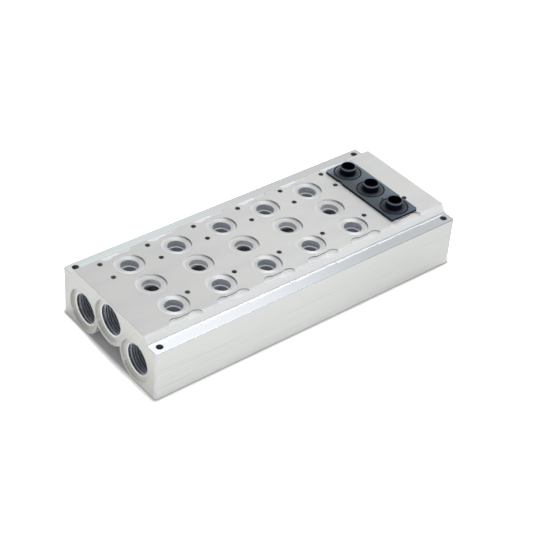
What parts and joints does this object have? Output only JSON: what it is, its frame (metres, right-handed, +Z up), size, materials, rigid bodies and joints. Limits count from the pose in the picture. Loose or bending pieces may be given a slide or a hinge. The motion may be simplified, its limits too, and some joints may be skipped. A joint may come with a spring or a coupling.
{
  "type": "air manifold block",
  "caption": "Extruded aluminium air manifold block with rows of seal seats, threaded ports at both ends and a moulded spigot plate.",
  "frame": {"origin": "centre of the base plane, under the middle of the block", "axes": "+X along the block towards the station that carries the spigot plate, +Y to the rear long edge, +Z up"},
  "size_m": [0.176, 0.0736, 0.0353],
  "materials": {
    "aluminium": "natural anodised extrusion, milled top and sawn ends",
    "moulding": "fine matt black moulding",
    "seal": "smooth black rubber"
  },
  "bodies": {
    "root": {"manifold_block": "aluminium", "spigot_plate": "moulding", "seal_ring_front": "seal", "seal_ring_middle": "seal", "seal_ring_rear": "seal"}
  },
  "joints": []
}
